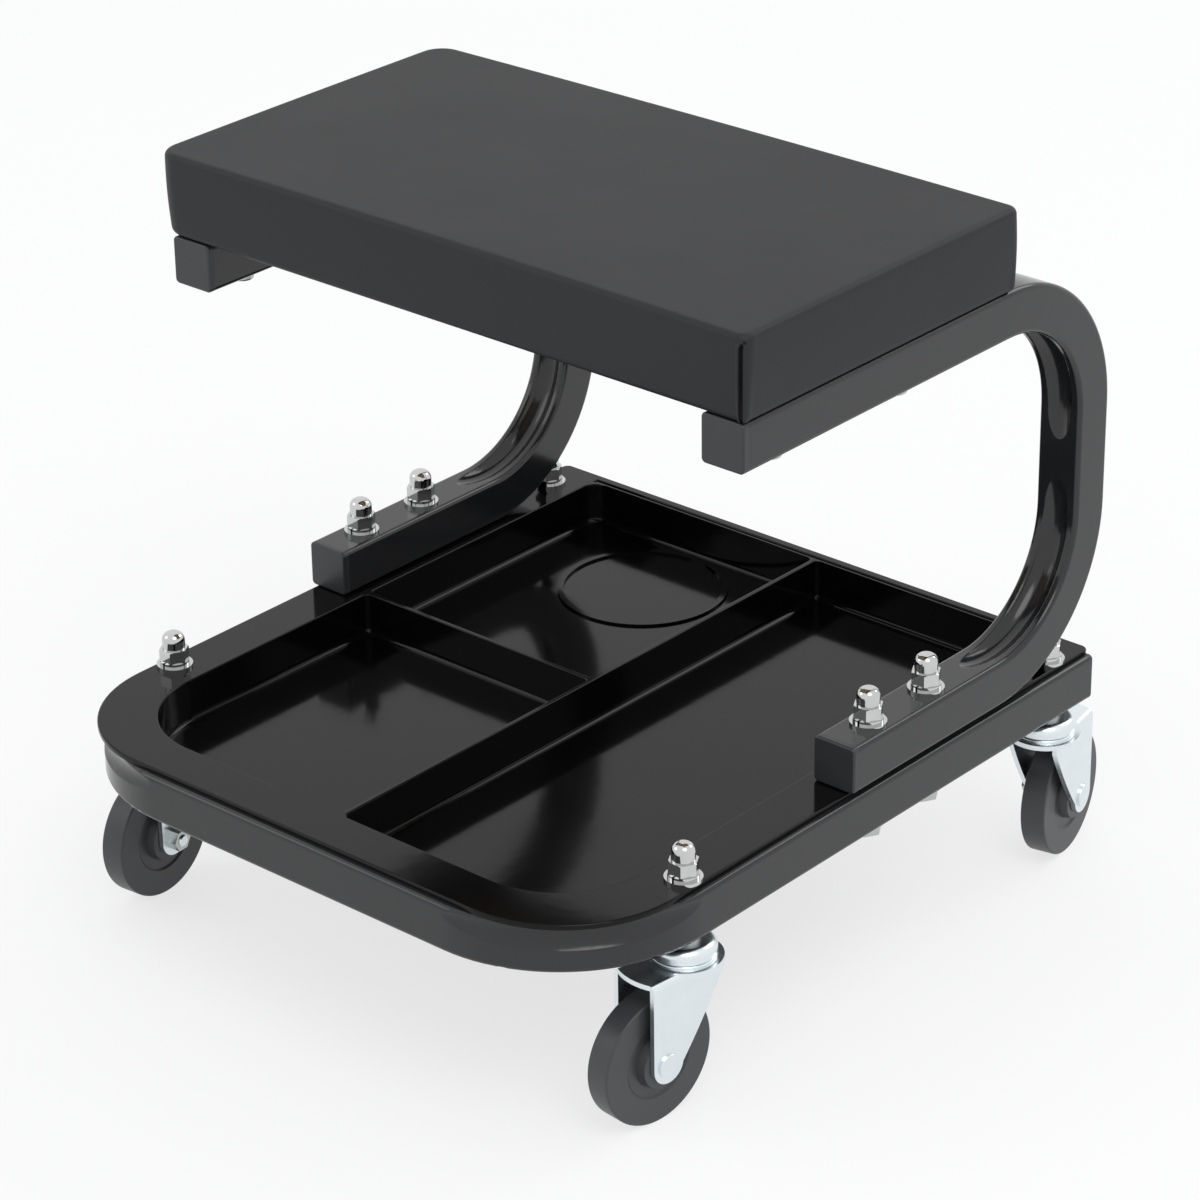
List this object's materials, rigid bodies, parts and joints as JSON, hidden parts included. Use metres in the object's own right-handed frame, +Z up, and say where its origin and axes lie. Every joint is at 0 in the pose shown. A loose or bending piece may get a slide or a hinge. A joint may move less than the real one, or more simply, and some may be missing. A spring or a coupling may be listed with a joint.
{
  "type": "mechanic stool",
  "caption": "Low rolling mechanic stool with a flat padded seat on two bent square tubes, a divided tool tray on a U frame, and swivel casters.",
  "frame": {"origin": "on the floor under the centre of the plan outline, casters trailing as in the picture", "axes": "+Z up from the floor; +Y from the tray's rounded front edge to the back of the seat tubes; +X to the right when the stool is seen from its front"},
  "size_m": [0.3654, 0.4162, 0.3741],
  "materials": {
    "seat_vinyl": "matt textured black vinyl",
    "seat_foam": "open-cell foam, unseen",
    "plywood": "raw plywood",
    "zinc_steel": "zinc-plated steel",
    "zinc_bright": "bright zinc-plated pressed steel",
    "ball_steel": "polished steel balls",
    "chrome_nut": "bright chrome plate",
    "chrome_washer": "bright chrome plate",
    "black_paint": "gloss black enamel",
    "tray_plastic": "semi-gloss black moulded plastic",
    "cap_plastic": "satin black moulded plastic",
    "wheel_plastic": "dark grey-black moulded plastic"
  },
  "bodies": {
    "stool": {"seat_cover": "seat_vinyl", "seat_foam": "seat_foam", "seat_board": "plywood", "seat_tee_nuts": "zinc_steel", "seat_screws": "zinc_steel", "seat_screw_washers": "zinc_steel", "cover_staples": "zinc_steel", "left_seat_tube": "black_paint", "right_seat_tube": "black_paint", "upper_left_tube_cap": "cap_plastic", "upper_right_tube_cap": "cap_plastic", "lower_left_tube_cap": "cap_plastic", "lower_right_tube_cap": "cap_plastic", "base_frame": "black_paint", "rear_left_frame_cap": "cap_plastic", "rear_right_frame_cap": "cap_plastic", "tool_tray": "tray_plastic", "tube_bolts": "zinc_steel", "tube_bolt_washers": "zinc_steel", "tube_flat_washers": "chrome_washer", "tube_spring_washers": "chrome_washer", "tube_cap_nuts": "chrome_nut", "caster_flat_washers": "chrome_washer", "caster_spring_washers": "chrome_washer", "caster_cap_nuts": "chrome_nut", "swivel_retainers": "zinc_steel", "front_left_stem": "zinc_steel", "front_left_swivel_cap": "zinc_bright", "front_left_swivel_balls": "ball_steel", "front_right_stem": "zinc_steel", "front_right_swivel_cap": "zinc_bright", "front_right_swivel_balls": "ball_steel", "rear_left_stem": "zinc_steel", "rear_left_swivel_cap": "zinc_bright", "rear_left_swivel_balls": "ball_steel", "rear_right_stem": "zinc_steel", "rear_right_swivel_cap": "zinc_bright", "rear_right_swivel_balls": "ball_steel"},
    "front_left_fork": {"front_left_fork": "zinc_bright", "front_left_axle": "zinc_steel", "front_left_axle_nut": "zinc_steel", "front_left_wheel_sleeve": "zinc_steel"},
    "front_left_wheel": {"front_left_wheel": "wheel_plastic"},
    "front_right_fork": {"front_right_fork": "zinc_bright", "front_right_axle": "zinc_steel", "front_right_axle_nut": "zinc_steel", "front_right_wheel_sleeve": "zinc_steel"},
    "front_right_wheel": {"front_right_wheel": "wheel_plastic"},
    "rear_left_fork": {"rear_left_fork": "zinc_bright", "rear_left_axle": "zinc_steel", "rear_left_axle_nut": "zinc_steel", "rear_left_wheel_sleeve": "zinc_steel"},
    "rear_left_wheel": {"rear_left_wheel": "wheel_plastic"},
    "rear_right_fork": {"rear_right_fork": "zinc_bright", "rear_right_axle": "zinc_steel", "rear_right_axle_nut": "zinc_steel", "rear_right_wheel_sleeve": "zinc_steel"},
    "rear_right_wheel": {"rear_right_wheel": "wheel_plastic"}
  },
  "joints": [
    {"name": "front_left_swivel", "type": "hinge", "parent": "stool", "child": "front_left_fork", "pos_m": [-0.1635, -0.1222, 0.075], "axis": [0, 0, 1], "continuous": true},
    {"name": "front_left_roll", "type": "hinge", "parent": "front_left_fork", "child": "front_left_wheel", "pos_m": [-0.16154, -0.14411, 0.0325], "axis": [0.996, 0.0889, 0], "continuous": true},
    {"name": "front_right_swivel", "type": "hinge", "parent": "stool", "child": "front_right_fork", "pos_m": [0.1635, -0.1222, 0.075], "axis": [0, 0, 1], "continuous": true},
    {"name": "front_right_roll", "type": "hinge", "parent": "front_right_fork", "child": "front_right_wheel", "pos_m": [0.16112, -0.14407, 0.0325], "axis": [0.9942, -0.108, 0], "continuous": true},
    {"name": "rear_left_swivel", "type": "hinge", "parent": "stool", "child": "rear_left_fork", "pos_m": [-0.1635, 0.1553, 0.075], "axis": [0, 0, 1], "continuous": true},
    {"name": "rear_left_roll", "type": "hinge", "parent": "rear_left_fork", "child": "rear_left_wheel", "pos_m": [-0.16044, 0.17709, 0.0325], "axis": [-0.9903, 0.1392, 0], "continuous": true},
    {"name": "rear_right_swivel", "type": "hinge", "parent": "stool", "child": "rear_right_fork", "pos_m": [0.1635, 0.1553, 0.075], "axis": [0, 0, 1], "continuous": true},
    {"name": "rear_right_roll", "type": "hinge", "parent": "rear_right_fork", "child": "rear_right_wheel", "pos_m": [0.15923, 0.17688, 0.0325], "axis": [-0.981, -0.1942, 0], "continuous": true}
  ]
}
